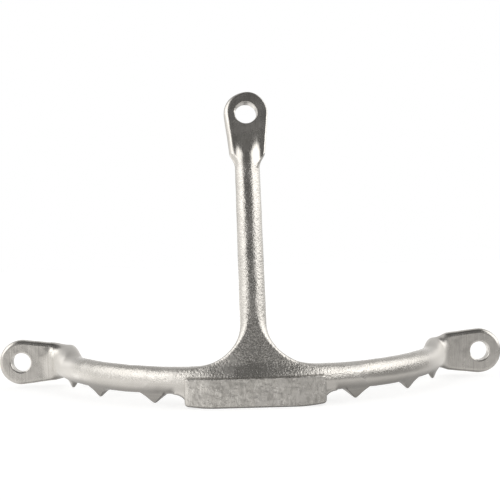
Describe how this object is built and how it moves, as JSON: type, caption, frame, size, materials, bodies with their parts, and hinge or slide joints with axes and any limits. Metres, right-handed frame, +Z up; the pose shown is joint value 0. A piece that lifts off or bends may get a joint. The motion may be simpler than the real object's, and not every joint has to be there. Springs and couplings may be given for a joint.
{
  "type": "boat anchor",
  "caption": "Rigid claw anchor: upright shank with a head eye, toothed half-hoop crossbar sweeping back to an eye at each end, and a flat ground pad at the crown.",
  "frame": {"origin": "centre of the crown pad's flat underside, on the plane the anchor stands on", "axes": "+Z up the shank side, +Y aft (the way the arms sweep back from the crown), +X to starboard, across the bar"},
  "size_m": [0.3532, 0.1126, 0.1914],
  "materials": {
    "cast_metal": "bright tumbled casting with a fine orange-peel grain",
    "satin_eye_metal": "satin, faintly linished faces with rounded bright edges",
    "ground_metal": "coarse ground flat with crossed grinding marks"
  },
  "bodies": {
    "root": {"shank": "cast_metal", "crown_web": "cast_metal", "port_arm": "cast_metal", "starboard_arm": "cast_metal", "head_eye_lug": "satin_eye_metal", "port_eye_lug": "satin_eye_metal", "starboard_eye_lug": "satin_eye_metal", "crown_pad": "ground_metal", "port_tooth_inner": "cast_metal", "port_tooth_middle": "cast_metal", "port_tooth_outer": "cast_metal", "starboard_tooth_inner": "cast_metal", "starboard_tooth_middle": "cast_metal", "starboard_tooth_outer": "cast_metal"}
  },
  "joints": []
}
